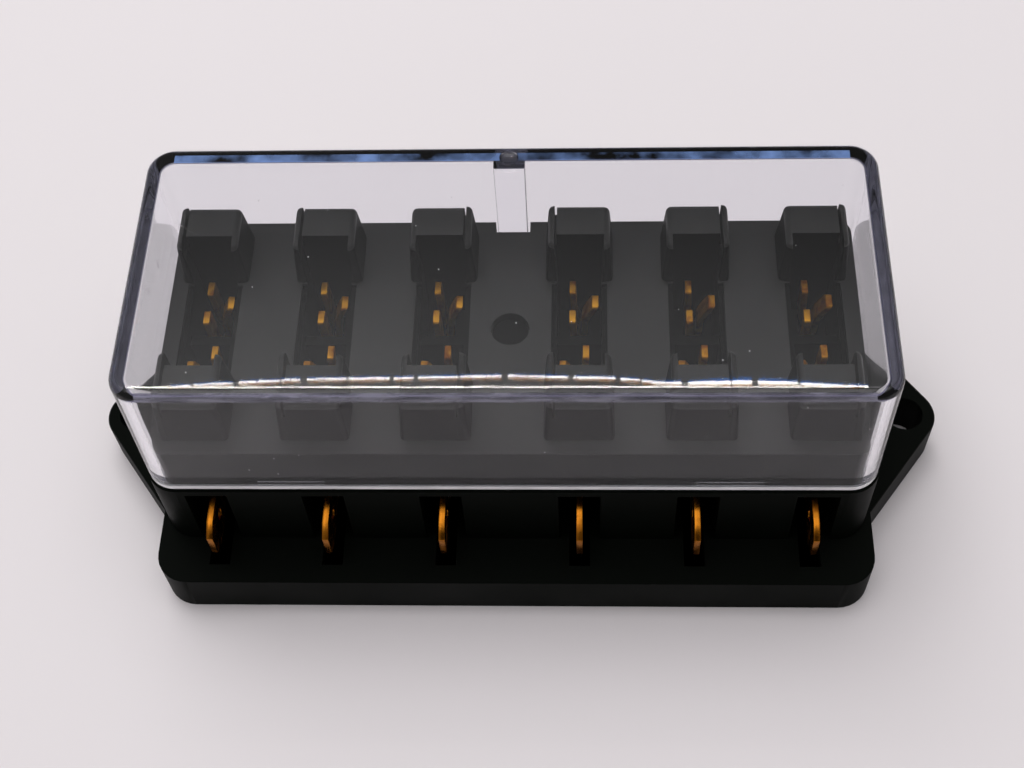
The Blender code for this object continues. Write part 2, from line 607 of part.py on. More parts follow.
def make_terminals(parts, brass):
    """Twelve equal terminals; the back one of each pair is the front one turned half round."""
    mesh = terminal_mesh()
    mesh.materials.append(brass)
    for number, x in enumerate(WAY_CENTRES, start=1):
        for side, turn in (("front", 0.0), ("back", math.pi)):
            terminal = add_object(f"terminal_{side}_{number}", mesh, parts)
            terminal.location = (x, 0.0, 0.0)
            terminal.rotation_euler = (0.0, 0.0, turn)


def main():
    for old in list(bpy.data.objects):
        bpy.data.objects.remove(old)
    parts = new_collection("fuse_box")
    tools = new_collection("cutters")
    black = plain_material("black_moulding", (0.012, 0.013, 0.013), 0.55)
    clear = plain_material("clear_moulding", (0.93, 0.93, 0.96), 0.05, alpha=0.3)
    brass = plain_material("stamped_brass", (0.72, 0.47, 0.16), 0.28, metallic=1.0)
    base = make_base(parts, tools)
    base.data.materials.clear()
    base.data.materials.append(black)
    smooth(base)
    cover = make_cover(parts, tools)
    cover.data.materials.clear()
    cover.data.materials.append(clear)
    smooth(cover)
    make_terminals(parts, brass)


main()
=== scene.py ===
"""Six-way blade fuse box, dressed: a black moulded base, a clear lift-off cover and brass terminals."""

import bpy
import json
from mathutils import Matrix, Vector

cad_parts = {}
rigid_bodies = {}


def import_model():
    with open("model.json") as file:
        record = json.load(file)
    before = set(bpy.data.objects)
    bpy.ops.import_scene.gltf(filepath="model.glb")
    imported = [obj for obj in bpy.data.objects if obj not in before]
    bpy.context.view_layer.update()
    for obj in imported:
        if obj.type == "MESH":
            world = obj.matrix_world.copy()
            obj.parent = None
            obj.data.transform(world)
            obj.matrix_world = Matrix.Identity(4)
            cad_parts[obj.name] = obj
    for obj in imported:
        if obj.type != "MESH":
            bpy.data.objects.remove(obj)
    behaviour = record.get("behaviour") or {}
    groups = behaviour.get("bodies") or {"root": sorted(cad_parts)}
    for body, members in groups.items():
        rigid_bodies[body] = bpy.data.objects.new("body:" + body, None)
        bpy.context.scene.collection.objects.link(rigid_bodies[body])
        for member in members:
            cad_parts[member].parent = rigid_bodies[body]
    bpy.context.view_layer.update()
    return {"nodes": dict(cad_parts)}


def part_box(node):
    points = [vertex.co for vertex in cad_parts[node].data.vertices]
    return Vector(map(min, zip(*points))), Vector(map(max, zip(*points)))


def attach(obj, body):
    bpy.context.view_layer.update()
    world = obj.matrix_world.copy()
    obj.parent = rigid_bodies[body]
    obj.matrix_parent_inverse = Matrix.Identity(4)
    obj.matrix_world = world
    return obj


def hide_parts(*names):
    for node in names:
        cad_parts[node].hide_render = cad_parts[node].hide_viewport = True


bl_info = {
    "name": "Six-way blade fuse box",
    "version": (1, 0, 0),
    "blender": (4, 5, 0),
    "location": "3D View > Sidebar > Fuse box",
    "description": "Makes the fuse box's clear cover, brass terminals, black base finish and studio",
    "category": "Add Mesh",
}

import json
import math

import bmesh
import bpy
from bpy.props import FloatProperty, FloatVectorProperty, IntProperty, PointerProperty
from mathutils import Matrix, Vector

for left_over in list(bpy.data.objects):
    bpy.data.objects.remove(left_over)

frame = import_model()

MM = 0.001
COVER_LOW, COVER_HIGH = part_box("clear_cover")
TERMINAL_LOW, TERMINAL_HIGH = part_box("terminal_front_1")
# Order of the finishes on the cover and on the base
TOP, FRONT_EDGE, RIM, WALLS, BACK_EDGE = range(5)
OUTSIDE, UNDER_COVER = range(2)


def linear(code):
    """Turns a hex sRGB colour into linear red, green and blue."""
    channels = [int(code[place:place + 2], 16) / 255 for place in (1, 3, 5)]
    return tuple(c / 12.92 if c <= 0.04045 else ((c + 0.055) / 1.055) ** 2.4 for c in channels)


def add(tree, kind, fields=None, inputs=None):
    """Adds one node; fields are its own settings, and an input takes a value or another node's output."""
    node = tree.nodes.new("ShaderNode" + kind)
    for name, value in (fields or {}).items():
        setattr(node, name, value)
    for name, value in (inputs or {}).items():
        if isinstance(value, bpy.types.NodeSocket):
            tree.links.new(value, node.inputs[name])
        else:
            node.inputs[name].default_value = value
    return node


def new_material(name):
    """An empty node material and its tree."""
    material = bpy.data.materials.get(name) or bpy.data.materials.new(name)
    material.use_nodes = True
    material.node_tree.nodes.clear()
    return material, material.node_tree


def four(colour):
    """A colour with full alpha."""
    return (*colour[:3], 1.0)


def rounded_ring(half_x, half_y, radius, steps, support):
    """Points round a rounded rectangle; each straight side has a point just beyond each corner arc."""
    points = []
    for sign_x, sign_y, start in ((1, 1, 0), (-1, 1, 90), (-1, -1, 180), (1, -1, 270)):
        centre_x, centre_y = sign_x * (half_x - radius), sign_y * (half_y - radius)
        arc = []
        for step in range(steps + 1):
            angle = math.radians(start + 90 * step / steps)
            arc.append((centre_x + radius * math.cos(angle), centre_y + radius * math.sin(angle)))
        before = math.radians(start - 90)
        after = math.radians(start + 180)
        first = (arc[0][0] + support * math.cos(before), arc[0][1] + support * math.sin(before))
        last = (arc[-1][0] + support * math.cos(after), arc[-1][1] + support * math.sin(after))
        points += [first, *arc, last]
    return points


def quarter(steps):
    """The angles of a quarter turn, both ends included."""
    return [math.radians(90 * step / steps) for step in range(steps + 1)]


def circle(centre_x, centre_y, radius, steps):
    """Points round a circle."""
    angles = [2 * math.pi * step / steps for step in range(steps)]
    return [(centre_x + radius * math.cos(angle), centre_y + radius * math.sin(angle)) for angle in angles]


def place_object(name, data):
    """An object of its own in the scene."""
    made = bpy.data.objects.new(name, data)
    bpy.context.scene.collection.objects.link(made)
    return made


def new_piece(name, mesh, body, finish, *nodes):
    """Puts a mesh in the scene on a body, in place of CAD nodes; its finish argument is not used."""
    made = place_object(name, mesh)
    if nodes:
        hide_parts(*nodes)
    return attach(made, body)


def evaluated_mesh(made):
    """The mesh that an object's modifiers give."""
    bpy.context.view_layer.update()
    return bpy.data.meshes.new_from_object(made.evaluated_get(bpy.context.evaluated_depsgraph_get()))


def mesh_of(shape, name):
    """Turns an edit mesh into a mesh whose faces all look outwards."""
    bmesh.ops.recalc_face_normals(shape, faces=shape.faces)
    mesh = bpy.data.meshes.new(name)
    shape.to_mesh(mesh)
    shape.free()
    return mesh


def loft(shape, rings):
    """Joins rings of points with faces and closes both ends."""
    for one, two in zip(rings, rings[1:]):
        for place in range(len(one)):
            follow = (place + 1) % len(one)
            shape.faces.new((one[place], one[follow], two[follow], two[place]))
    shape.faces.new(rings[0])
    shape.faces.new(rings[-1])


def smooth(mesh, angle):
    """Shades a mesh smooth up to an angle in degrees."""
    mesh.shade_smooth()
    mesh.set_sharp_from_angle(angle=math.radians(angle))


class CoverSettings(bpy.types.PropertyGroup):
    """Sizes and colour of the clear cover."""
    half_length: FloatProperty(name="Half length", description="Half the cover's length at its rim",
                               default=COVER_HIGH.x, subtype="DISTANCE", unit="LENGTH")
    half_depth: FloatProperty(name="Half depth", description="Half the cover's depth at its rim",
                              default=COVER_HIGH.y, subtype="DISTANCE", unit="LENGTH")
    rim: FloatProperty(name="Rim height", description="Height of the cover's open edge",
                       default=COVER_LOW.z, subtype="DISTANCE", unit="LENGTH")
    top: FloatProperty(name="Top height", description="Height of the cover's top face",
                       default=COVER_HIGH.z, subtype="DISTANCE", unit="LENGTH")
    wall: FloatProperty(name="Wall", description="Thickness of the moulding", default=1.5 * MM,
                        subtype="DISTANCE", unit="LENGTH")
    corner: FloatProperty(name="Corner", description="Radius of the upright corners", default=3.8 * MM,
                          subtype="DISTANCE", unit="LENGTH")
    edge: FloatProperty(name="Top edge", description="Radius of the edge round the top", default=1.1 * MM,
                        subtype="DISTANCE", unit="LENGTH")
    inner_edge: FloatProperty(name="Inner edge", description="Radius inside the top edge", default=0.5 * MM,
                              subtype="DISTANCE", unit="LENGTH")
    lip: FloatProperty(name="Rim round", description="Radius of the rim's two edges", default=0.2 * MM,
                       subtype="DISTANCE", unit="LENGTH")
    # This strip is painted white as a line of light, not scuffed.
    rim_painted_line: FloatProperty(name="Rim strip", description="Height of the scuffed strip round the rim",
                             default=0.9 * MM, subtype="DISTANCE", unit="LENGTH")
    draft: FloatProperty(name="Draft", description="How far the walls lean in over their height",
                         default=0.25 * MM, subtype="DISTANCE", unit="LENGTH")
    key_width: FloatProperty(name="Key width", description="Width of the rib in the back wall",
                             default=4.0 * MM, subtype="DISTANCE", unit="LENGTH")
    key_depth: FloatProperty(name="Key depth", description="How far the rib stands off the back wall",
                             default=1.7 * MM, subtype="DISTANCE", unit="LENGTH")
    dimple: FloatProperty(name="Dimple", description="Diameter of the dimple over the rib", default=2.4 * MM,
                          subtype="DISTANCE", unit="LENGTH")
    tint: FloatVectorProperty(name="Tint", description="Colour that thick plastic takes on", size=3,
                              default=linear("#D9D8F2"), subtype="COLOR", min=0, max=1)
    # The edge glow is painted light: a diffuse lilac haze on the faces of the front edge that look forward.
    edge_painted_glow: FloatVectorProperty(name="Edge glow", description="Colour that the front edge takes on",
                                   size=3, default=linear("#CBC9DE"), subtype="COLOR", min=0, max=1)
    edge_clearness: FloatProperty(name="Edge clearness", description="How clear the front edge stays",
                                  default=0.75, min=0, max=1, subtype="FACTOR")
    line_near: FloatProperty(name="Line start", description="Where the bluish line starts, in from the wall",
                             default=0.12 * MM, subtype="DISTANCE", unit="LENGTH")
    line_far: FloatProperty(name="Line end", description="Where the bluish line ends, in from the wall",
                            default=1.35 * MM, subtype="DISTANCE", unit="LENGTH")
    # The back glow is painted light: a diffuse bluish line along the top beside the back wall.
    back_painted_glow: FloatVectorProperty(name="Back glow", description="Colour of the line along the back edge",
                                   size=3, default=linear("#90B4F8"), subtype="COLOR", min=0, max=1)
    back_clearness: FloatProperty(name="Back clearness", description="How clear the line at the back stays",
                                  default=0.7, min=0, max=1, subtype="FACTOR")
    steps: IntProperty(name="Steps", description="Steps in each upright corner", default=16, min=4)


class TerminalSettings(bpy.types.PropertyGroup):
    """Sizes and colour of the stamped terminals."""
    way_pitch: FloatProperty(name="Way pitch", description="Distance between neighbouring ways",
                             default=15.07 * MM, subtype="DISTANCE", unit="LENGTH")
    middle_pitch: FloatProperty(name="Middle pitch", description="Distance between the two middle ways",
                                default=17.7 * MM, subtype="DISTANCE", unit="LENGTH")
    sheet: FloatProperty(name="Sheet", description="Thickness of the brass sheet", default=0.8 * MM,
                         subtype="DISTANCE", unit="LENGTH")
    edge: FloatProperty(name="Edge", description="Rounding that stamping leaves on the edges",
                        default=0.1 * MM, subtype="DISTANCE", unit="LENGTH")
    tab_width: FloatProperty(name="Tab width", description="Height of the push-on tab", default=6.3 * MM,
                             subtype="DISTANCE", unit="LENGTH")
    tab_bottom: FloatProperty(name="Tab bottom", description="Height of the tab's lower edge",
                              default=TERMINAL_LOW.z, subtype="DISTANCE", unit="LENGTH")
    tab_tip: FloatProperty(name="Tab tip", description="How far the tab reaches from the middle",
                           default=-TERMINAL_LOW.y, subtype="DISTANCE", unit="LENGTH")
    head_top: FloatProperty(name="Finger ends", description="Height of the fingers' ends",
                            default=TERMINAL_HIGH.z, subtype="DISTANCE", unit="LENGTH")
    head_width: FloatProperty(name="Head width", description="Width of the three fingers together",
                              default=6.8 * MM, subtype="DISTANCE", unit="LENGTH")
    blade_spacing: FloatProperty(name="Blade spacing", description="Distance between a fuse's two blades",
                                 default=10.1 * MM, subtype="DISTANCE", unit="LENGTH")
    hole: FloatProperty(name="Tab hole", description="Diameter of the round hole in the tab",
                        default=1.66 * MM, subtype="DISTANCE", unit="LENGTH")
    hole_from_tip: FloatProperty(name="Hole from tip", description="Distance of the hole from the tab's tip",
                                 default=4.7 * MM, subtype="DISTANCE", unit="LENGTH")
    slit: FloatProperty(name="Slit", description="Width of the cuts between the fingers", default=0.12 * MM,
                        subtype="DISTANCE", unit="LENGTH")
    root: FloatProperty(name="Finger root", description="Height where the fingers begin", default=18.6 * MM,
                        subtype="DISTANCE", unit="LENGTH")
    grip_bottom: FloatProperty(name="Grip bottom", description="Height from which a finger holds the blade",
                               default=21.5 * MM, subtype="DISTANCE", unit="LENGTH")
    grip_top: FloatProperty(name="Grip top", description="Height up to which a finger holds the blade",
                            default=23.2 * MM, subtype="DISTANCE", unit="LENGTH")
    blade: FloatProperty(name="Blade", description="Thickness of a fuse's blade", default=0.65 * MM,
                         subtype="DISTANCE", unit="LENGTH")
    outer_flare: FloatProperty(name="Outer flare", description="How far the outer fingers' ends stand off",
                               default=0.87 * MM, subtype="DISTANCE", unit="LENGTH")
    middle_flare: FloatProperty(name="Middle flare", description="How far the middle finger's end stands off",
                                default=2.1 * MM, subtype="DISTANCE", unit="LENGTH")
    bends: IntProperty(name="Bends", description="Steps in each bend of a finger", default=10, min=3)
    colour: FloatVectorProperty(name="Brass", description="Colour of the clean brass", size=3,
                                default=linear("#CC9426"), subtype="COLOR", min=0, max=1)
    tarnish: FloatVectorProperty(name="Tarnish", description="Colour of the handled brass", size=3,
                                 default=linear("#965715"), subtype="COLOR", min=0, max=1)


class BaseSettings(bpy.types.PropertyGroup):
    """Colour, grain and gloss of the black base."""
    colour: FloatVectorProperty(name="Black", description="Colour of the moulding", size=3,
                                default=linear("#080B08"), subtype="COLOR", min=0, max=1)
    plate: FloatProperty(name="Plate", description="Height of the plate, where the finish changes",
                         default=27.9 * MM, subtype="DISTANCE", unit="LENGTH")
    # The inner black is lighter than the outer one as painted sheen on upward faces.
    inner_colour_painted_sheen: FloatVectorProperty(name="Inner black", description="Colour of the plate and towers",
                                      size=3, default=linear("#232421"), subtype="COLOR", min=0, max=1)
    grain: FloatProperty(name="Grain", description="Size of the eroded mould grain", default=0.6 * MM,
                         subtype="DISTANCE", unit="LENGTH")
    outer_gloss: FloatProperty(name="Outer gloss", description="Shine of the flange, ears and body",
                               default=0.03, min=0, max=1, subtype="FACTOR")
    inner_gloss: FloatProperty(name="Inner gloss", description="Shine of the plate and towers",
                               default=0.45, min=0, max=1, subtype="FACTOR")


class StudioSettings(bpy.types.PropertyGroup):
    """Floor, light and camera."""
    floor: FloatVectorProperty(name="Floor", description="Colour of the paper under the box", size=3,
                               default=linear("#EDE8EA"), subtype="COLOR", min=0, max=1)
    lens: FloatProperty(name="Lens", description="Focal length", default=54.84 * MM,
                        subtype="DISTANCE_CAMERA")
    pitch: FloatProperty(name="Pitch", description="How far the camera looks down", subtype="ANGLE",
                         default=math.radians(58.006))
    yaw: FloatProperty(name="Yaw", description="How far the camera turns from the Y axis", subtype="ANGLE",
                       default=math.radians(-5.10))
    roll: FloatProperty(name="Roll", description="How far the camera leans", subtype="ANGLE",
                        default=math.radians(4.396))
    place: FloatVectorProperty(name="Camera place", description="Where the camera stands", size=3,
                               default=(0.00965, -0.1115, 0.1943), subtype="TRANSLATION", unit="LENGTH")
    light: FloatProperty(name="Light", description="Strength of the light tent", default=0.95, min=0)
    strip: FloatProperty(name="Strip", description="Brightness of the row of small lamps",
                         default=45.0, min=0)
    lamp: FloatProperty(name="Lamp", description="Power of the soft lamp behind the box on the left",
                        default=1.2, min=0, subtype="POWER", unit="POWER")
    lamp_place: FloatVectorProperty(name="Lamp place", description="Where the soft lamp hangs", size=3,
                                    default=(-0.15, 0.28, 0.6), subtype="TRANSLATION", unit="LENGTH")


def clear_styrene(name, settings, clearness=1.0, uneven=0.0, mirror=1.0, haze_and_painted_glow=linear("#FDFDFE")):
    """Clear general-purpose styrene, injection moulded; haze_and_painted_glow is the colour that shows where it
    is less clear: at dust, and as painted glow where the clearness is set low.
    """
    material, tree = new_material(name)
    place = add(tree, "TexCoord").outputs["Object"]
    # Hairline scratches: long thin waves, each layer turned another way, cut down to a few short strokes.
    strokes = None
    for turn, shift in ((0.35, 0.0), (-0.6, 3.1), (1.25, 7.7)):
        turned = add(tree, "Mapping", {"vector_type": "TEXTURE"},
                     {"Vector": place, "Rotation": (0, 0, turn), "Location": (shift * MM, 0, 0),
                      "Scale": (26 * MM, 0.55 * MM, 6 * MM)})
        noise = add(tree, "TexNoise", None, {"Vector": turned.outputs[0], "Scale": 1.0, "Detail": 2.0})
        line = add(tree, "MapRange", {"interpolation_type": "SMOOTHSTEP"},
                   {"Value": noise.outputs["Fac"], "From Min": 0.77, "From Max": 0.79})
        if strokes is None:
            strokes = line.outputs[0]
        else:
            strokes = add(tree, "Math", {"operation": "MAXIMUM"}, {0: strokes, 1: line.outputs[0]}).outputs[0]
    # Dust: specks of about 0.1 mm, drawn no finer than the render can show, in one cell out of ten.
    cells = add(tree, "TexVoronoi", {"feature": "F1"}, {"Vector": place, "Scale": 1 / (1.6 * MM)})
    chosen = add(tree, "SeparateColor", None, {"Color": cells.outputs["Color"]})
    rare = add(tree, "Math", {"operation": "GREATER_THAN"}, {0: chosen.outputs[0], 1: 0.9})
    near = add(tree, "Math", {"operation": "LESS_THAN"}, {0: cells.outputs["Distance"], 1: 0.045})
    dust = add(tree, "Math", {"operation": "MULTIPLY"}, {0: rare.outputs[0], 1: near.outputs[0]})
    # Where the clearness is uneven, the painted glow comes in stretches of a few millimetres, drawn out along
    # the edge it sits on.
    along = add(tree, "Mapping", None,
                {"Vector": place, "Scale": (1 / (5 * MM), 1 / (5 * MM), 1 / (0.6 * MM))})
    painted_glow_stretches = add(tree, "TexNoise", None, {"Vector": along.outputs[0], "Scale": 1.0, "Detail": 5.0})
    least, most = max(clearness - uneven, 0.0), min(clearness + uneven, 1.0)
    clear = add(tree, "MapRange", None, {"Value": painted_glow_stretches.outputs["Fac"], "From Min": 0.35, "From Max": 0.65,
                                         "To Min": least, "To Max": most})
    solid = add(tree, "MapRange", None,
                {"Value": dust.outputs[0], "To Min": clear.outputs[0], "To Max": 0.25})
    marks = add(tree, "MapRange", None, {"Value": strokes, "To Min": 0.015, "To Max": 0.2})
    rough = add(tree, "Math", {"operation": "MAXIMUM"}, {0: marks.outputs[0], 1: dust.outputs[0]})
    shader = add(tree, "BsdfPrincipled", None, {
        "Base Color": four(haze_and_painted_glow), "Roughness": rough.outputs[0], "IOR": 1.43,
        "Specular Tint": (mirror, mirror, mirror, 1.0), "Transmission Weight": solid.outputs[0]})
    # Thick stretches take on the faint violet that is added to keep styrene from looking yellow.
    inside = add(tree, "VolumeAbsorption", None, {"Color": four(settings.tint), "Density": 35.0})
    add(tree, "OutputMaterial", None, {"Surface": shader.outputs[0], "Volume": inside.outputs[0]})
    return material


def black_nylon(name, settings, black, gloss, depth):
    """Black glass-filled nylon; the mould's own finish sets the gloss and how deep the grain is."""
    material, tree = new_material(name)
    place = add(tree, "TexCoord").outputs["Object"]
    # The eroded grain is far finer than this, and is drawn as coarse as the render can show.
    grain = add(tree, "TexNoise", None, {"Vector": place, "Scale": 1 / settings.grain, "Detail": 3.0})
    # Glass fibre near the skin leaves patches that differ a little in shade and in sheen.
    patches = add(tree, "TexNoise", None, {"Vector": place, "Scale": 1 / (14 * MM), "Detail": 4.0})
    colour = add(tree, "MixRGB", None, {
        "Fac": patches.outputs["Fac"], "Color1": four([c * 0.75 for c in black]),
        "Color2": four([c * 1.3 for c in black])})
    rough = add(tree, "MapRange", None, {"Value": patches.outputs["Fac"], "From Min": 0.3, "From Max": 0.7,
                                         "To Min": 0.425, "To Max": 0.575})
    bump = add(tree, "Bump", None, {"Height": grain.outputs["Fac"], "Strength": 0.04, "Distance": depth})
    shader = add(tree, "BsdfPrincipled", None, {
        "Base Color": colour.outputs[0], "Roughness": rough.outputs[0], "Specular IOR Level": gloss,
        "Normal": bump.outputs[0]})
    add(tree, "OutputMaterial", None, {"Surface": shader.outputs[0]})
    return material


def stamped_brass(settings):
    """Half-hard brass strip, rolled and then stamped."""
    # Rolling leaves fine lines along the strip, and handling leaves browner patches that dull the shine.
    material, tree = new_material("brass_rolled_and_stamped")
    place = add(tree, "TexCoord").outputs["Object"]
    along = add(tree, "Mapping", None,
                {"Vector": place, "Scale": (1 / (0.5 * MM), 1 / (9 * MM), 1 / (0.12 * MM))})
    lines = add(tree, "TexNoise", None, {"Vector": along.outputs[0], "Scale": 1.0, "Detail": 3.0})
    patches = add(tree, "TexNoise", None, {"Vector": place, "Scale": 1 / (2.2 * MM), "Detail": 4.0})
    stain = add(tree, "MapRange", {"interpolation_type": "SMOOTHSTEP"},
                {"Value": patches.outputs["Fac"], "From Min": 0.45, "From Max": 0.68})
    # The tabs stand in the open air and have browned all over, the fingers only in patches.
    height = add(tree, "SeparateXYZ", None, {"Vector": place}).outputs["Z"]
    browned = add(tree, "MapRange", None, {"Value": height, "From Min": 15.5 * MM, "From Max": 18 * MM,
                                           "To Min": 0.9, "To Max": 0.0})
    brown = add(tree, "Math", {"operation": "MAXIMUM"}, {0: stain.outputs[0], 1: browned.outputs[0]})
    colour = add(tree, "MixRGB", None, {"Fac": brown.outputs[0], "Color1": four(settings.colour),
                                        "Color2": four(settings.tarnish)})
    rough = add(tree, "MapRange", None, {"Value": stain.outputs[0], "To Min": 0.22, "To Max": 0.4})
    # Blades that slide in and out leave the fingers satin, while the tabs keep the rolled shine.
    worn = add(tree, "MapRange", None, {"Value": height, "From Min": 19 * MM, "From Max": 24 * MM,
                                        "To Min": 0.0, "To Max": 0.3})
    rough = add(tree, "Math", {"operation": "ADD"}, {0: rough.outputs[0], 1: worn.outputs[0]})
    bump = add(tree, "Bump", None, {"Height": lines.outputs["Fac"], "Strength": 0.3, "Distance": 0.02 * MM})
    shader = add(tree, "BsdfPrincipled", None, {
        "Base Color": colour.outputs[0], "Metallic": 1.0, "Roughness": rough.outputs[0],
        "Normal": bump.outputs[0]})
    add(tree, "OutputMaterial", None, {"Surface": shader.outputs[0]})
    return material


def cover_profile(settings):
    """The section as (inset from the rim's outline, height), from the top's middle round to the ceiling's."""
    top, rim, wall = settings.top, settings.rim, settings.wall
    edge, inner, draft = settings.edge, settings.inner_edge, settings.draft
    # Points just beside each round keep the faces next to it flat.
    lip, near = settings.lip, 0.12 * MM
    ceiling = top - wall
    section = [(wall + settings.line_far, top), (wall + settings.line_near, top), (draft + edge + near, top)]
    for angle in quarter(8):
        section.append((draft + edge * (1 - math.sin(angle)), top - edge * (1 - math.cos(angle))))
    # The walls lean in by a share of the draft that grows from the rim to the top.
    section.append((draft * 0.97, top - edge - near))
    section.append((draft * 0.06, rim + settings.rim_painted_line))
    section.append((draft * 0.02, rim + lip + near))
    for angle in quarter(4):
        section.append((lip * (1 - math.cos(angle)), rim + lip * (1 - math.sin(angle))))
    section.append((lip + near, rim))
    section.append((wall - lip - near, rim))
    for angle in quarter(4):
        section.append((wall - lip * (1 - math.sin(angle)), rim + lip * (1 - math.cos(angle))))
    section.append((wall + draft * 0.02, rim + lip + near))
    section.append((wall + draft * 0.97, ceiling - inner - near))
    for angle in quarter(6):
        inset = wall + draft + inner * (1 - math.cos(angle))
        section.append((inset, ceiling - inner * (1 - math.sin(angle))))
    section.append((wall + draft + inner + near, ceiling))
    return section


def cover_shell(settings):
    """One closed shell swept round the rim's outline."""
    smallest_corner, support = 0.4 * MM, 0.15 * MM
    shape = bmesh.new()
    rings = []
    for inset, height in cover_profile(settings):
        radius = max(settings.corner - inset, smallest_corner)
        ring = rounded_ring(settings.half_length - inset, settings.half_depth - inset, radius,
                            settings.steps, support)
        rings.append([shape.verts.new((x, y, height)) for x, y in ring])
    loft(shape, rings)
    return mesh_of(shape, "cover_shell")


def key_rib(settings):
    """The tall rib inside the back wall, a little narrower at its foot, with soft upright edges."""
    inner = settings.half_depth - settings.wall
    low, high = settings.rim, settings.top - settings.wall / 2
    foot_taper, soft_edge = 0.05 * MM, 0.25 * MM
    shape = bmesh.new()
    made = bmesh.ops.create_cube(shape, size=2.0)["verts"]
    for vert in made:
        upper = vert.co.z > 0
        half = settings.key_width / 2 - (0.0 if upper else foot_taper)
        front = inner - settings.key_depth - (settings.draft if upper else 0.0)
        vert.co = (math.copysign(half, vert.co.x), inner + settings.wall / 3 if vert.co.y > 0 else front,
                   high if upper else low)
    upright = [e for e in shape.edges
               if abs(e.verts[0].co.z - e.verts[1].co.z) > 5 * MM and min(v.co.y for v in e.verts) < inner]
    bmesh.ops.bevel(shape, geom=upright, offset=soft_edge, segments=4, affect="EDGES", profile=0.5)
    return mesh_of(shape, "key_rib")


def top_dimple(settings):
    """A shallow round dimple in the top, over the rib, with a dished floor."""
    centre = settings.half_depth - settings.wall - settings.key_depth / 2
    shape = bmesh.new()
    rings = []
    # Share of the radius and depth in mm, from above the top down to the middle of the floor
    for share, depth in ((1.0, -0.4), (1.0, 0.32), (0.9, 0.45), (0.7, 0.52), (0.4, 0.56), (0.1, 0.57)):
        ring = circle(0.0, centre, settings.dimple / 2 * share, 40)
        rings.append([shape.verts.new((x, y, settings.top - depth * MM)) for x, y in ring])
    loft(shape, rings)
    return mesh_of(shape, "top_dimple")


def snap_beads(settings):
    """Low rounded beads inside the long walls that hold the cover on the base."""
    inner = settings.half_depth - settings.wall
    start, length, height, proud = 23.4 * MM, 8.6 * MM, 0.9 * MM, 0.15 * MM
    buried, steps = 0.4 * MM, 12
    middle = settings.rim + 0.6 * height
    shape = bmesh.new()
    for side_x in (-1, 1):
        for side_y in (-1, 1):
            ends = []
            for x in (start, start + length):
                ring = []
                for step in range(steps + 1):
                    angle = math.radians(180 * step / steps)
                    ring.append(shape.verts.new((side_x * x, side_y * (inner - proud * math.sin(angle)),
                                                 middle + height / 2 * math.cos(angle))))
                for edge in (-height / 2, height / 2):
                    ring.append(shape.verts.new((side_x * x, side_y * (inner + buried), middle + edge)))
                ends.append(ring)
            loft(shape, ends)
    return mesh_of(shape, "snap_beads")


def finish_cover(mesh, settings):
    """Clear top and walls, with the front and back edges and the rim as finishes of their own, which carry
    painted glow.
    """
    mesh.materials.clear()
    # The polished top is colourless and mirrors the light overhead as a thin veil.
    mesh.materials.append(clear_styrene("clear_styrene_polished", settings))
    # The rounded front edge has a faint lilac glow painted into it as diffuse haze, standing for light that runs
    # along the walls and comes out there.
    mesh.materials.append(clear_styrene("clear_styrene_rounded_edge_painted_glow", settings, settings.edge_clearness,
                                        uneven=0.12, haze_and_painted_glow=settings.edge_painted_glow))
    # The rim and a strip above it outside are painted nearly solid white, a painted line of light standing for
    # light carried down the wall to the rim.
    mesh.materials.append(clear_styrene("clear_styrene_rim_painted_light_line", settings, 0.12, uneven=0.16,
                                        haze_and_painted_glow=linear("#FCFCFE")))
    # The walls are given a black specular tint, so they mirror next to nothing: painted shade over the veil they
    # would show.
    mesh.materials.append(clear_styrene("clear_styrene_walls_reflection_painted_out", settings, mirror=0.0))
    # A broken bluish line is painted onto the top beside the back wall, standing for the light behind it that
    # thick plastic splits.
    mesh.materials.append(clear_styrene("clear_styrene_back_edge_painted_blue_line", settings, settings.back_clearness,
                                        uneven=0.3, haze_and_painted_glow=settings.back_painted_glow))
    back_wall = settings.half_depth - settings.wall
    for face in mesh.polygons:
        centre, normal = face.center, face.normal
        straight = abs(centre.x) < settings.half_length - settings.corner
        outward = centre.x * normal.x + centre.y * normal.y > 0
        if centre.z > settings.top - settings.edge and normal.y < -0.3 and 0.03 < normal.z < 0.92:
            if straight:
                face.material_index = FRONT_EDGE
        elif (centre.z > settings.top - 0.05 * MM
              and settings.line_near < back_wall - centre.y < settings.line_far):
            if straight:
                face.material_index = BACK_EDGE
        # The rim and the strip above it outside take the painted white line of light.
        elif centre.z < settings.rim + (settings.rim_painted_line if outward else settings.lip + 0.05 * MM):
            face.material_index = RIM
        elif abs(normal.z) < 0.1:
            face.material_index = WALLS
        else:
            face.material_index = TOP


class FUSEBOX_OT_cover(bpy.types.Operator):
    """Makes the clear cover with its key rib, dimple and snap beads"""
    bl_idname = "fusebox.cover"
    bl_label = "Clear cover"

    def execute(self, context):
        settings = context.scene.fusebox_cover
        shell = place_object("cover_shell", cover_shell(settings))
        helpers = []
        for make, operation in ((key_rib, "UNION"), (snap_beads, "UNION"), (top_dimple, "DIFFERENCE")):
            helper = place_object(make.__name__, make(settings))
            step = shell.modifiers.new(make.__name__, "BOOLEAN")
            step.operation = operation
            step.solver = "EXACT"
            step.object = helper
            helpers.append(helper)
        mesh = evaluated_mesh(shell)
        for helper in (shell, *helpers):
            bpy.data.objects.remove(helper)
        mesh.name = "cover"
        smooth(mesh, 28)
        finish_cover(mesh, settings)
        new_piece("cover", mesh, "cover", "clear_moulding", "clear_cover")
        return {"FINISHED"}


